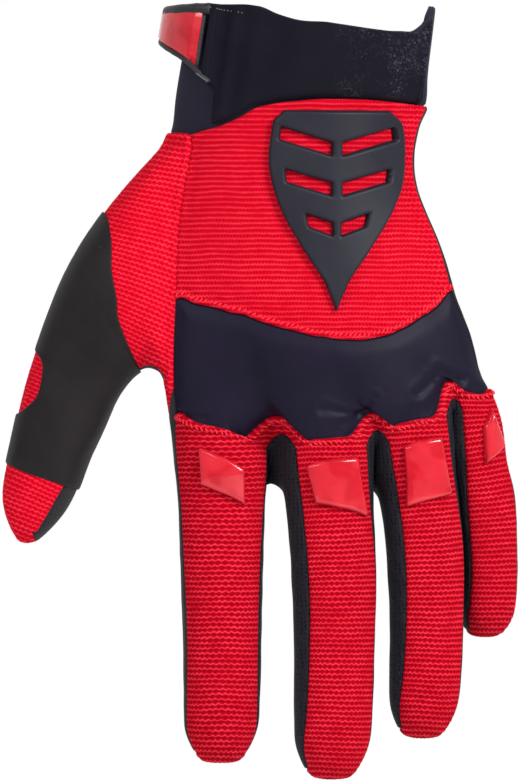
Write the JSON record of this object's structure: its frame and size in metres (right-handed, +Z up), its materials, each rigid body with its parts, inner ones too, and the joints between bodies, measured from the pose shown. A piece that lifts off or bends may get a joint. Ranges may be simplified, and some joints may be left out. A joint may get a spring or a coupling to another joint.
{
  "type": "mountain bike glove",
  "caption": "Full-finger mountain bike glove for the left hand, red ribbed knit back, padded knuckle panel, leather palm, moulded knuckle pads and strapped stretch cuff, in its worn form.",
  "frame": {"origin": "middle of the wrist opening at the top of the cuff", "axes": "+Z up out of the wrist opening with the fingers pointing down, -Y out of the back of the hand, -X towards the thumb"},
  "size_m": [0.155, 0.0488, 0.2328],
  "materials": {
    "red_knit": "matt ribbed knit",
    "padded_panel": "smooth padded cloth",
    "palm_leather": "matt synthetic leather",
    "side_mesh": "open mesh cloth",
    "cuff_stretch": "matt stretch cloth",
    "strap_cloth": "matt brushed cloth",
    "red_rubber": "glossy moulded",
    "slate_rubber": "satin moulded"
  },
  "bodies": {
    "root": {"cuff": "cuff_stretch", "wrist_strap": "strap_cloth", "strap_tab": "red_rubber", "back_panel": "red_knit", "back_badge": "slate_rubber", "knuckle_panel": "padded_panel", "finger_backs": "red_knit", "palm": "palm_leather", "fourchette_1": "side_mesh", "fourchette_2": "side_mesh", "fourchette_3": "side_mesh", "thumb_panel": "red_knit", "thumb_palm": "palm_leather", "thumb_overlay": "palm_leather", "knuckle_pad_index": "red_rubber", "knuckle_pad_middle": "red_rubber", "knuckle_pad_ring": "red_rubber", "knuckle_pad_little": "red_rubber"}
  },
  "joints": []
}
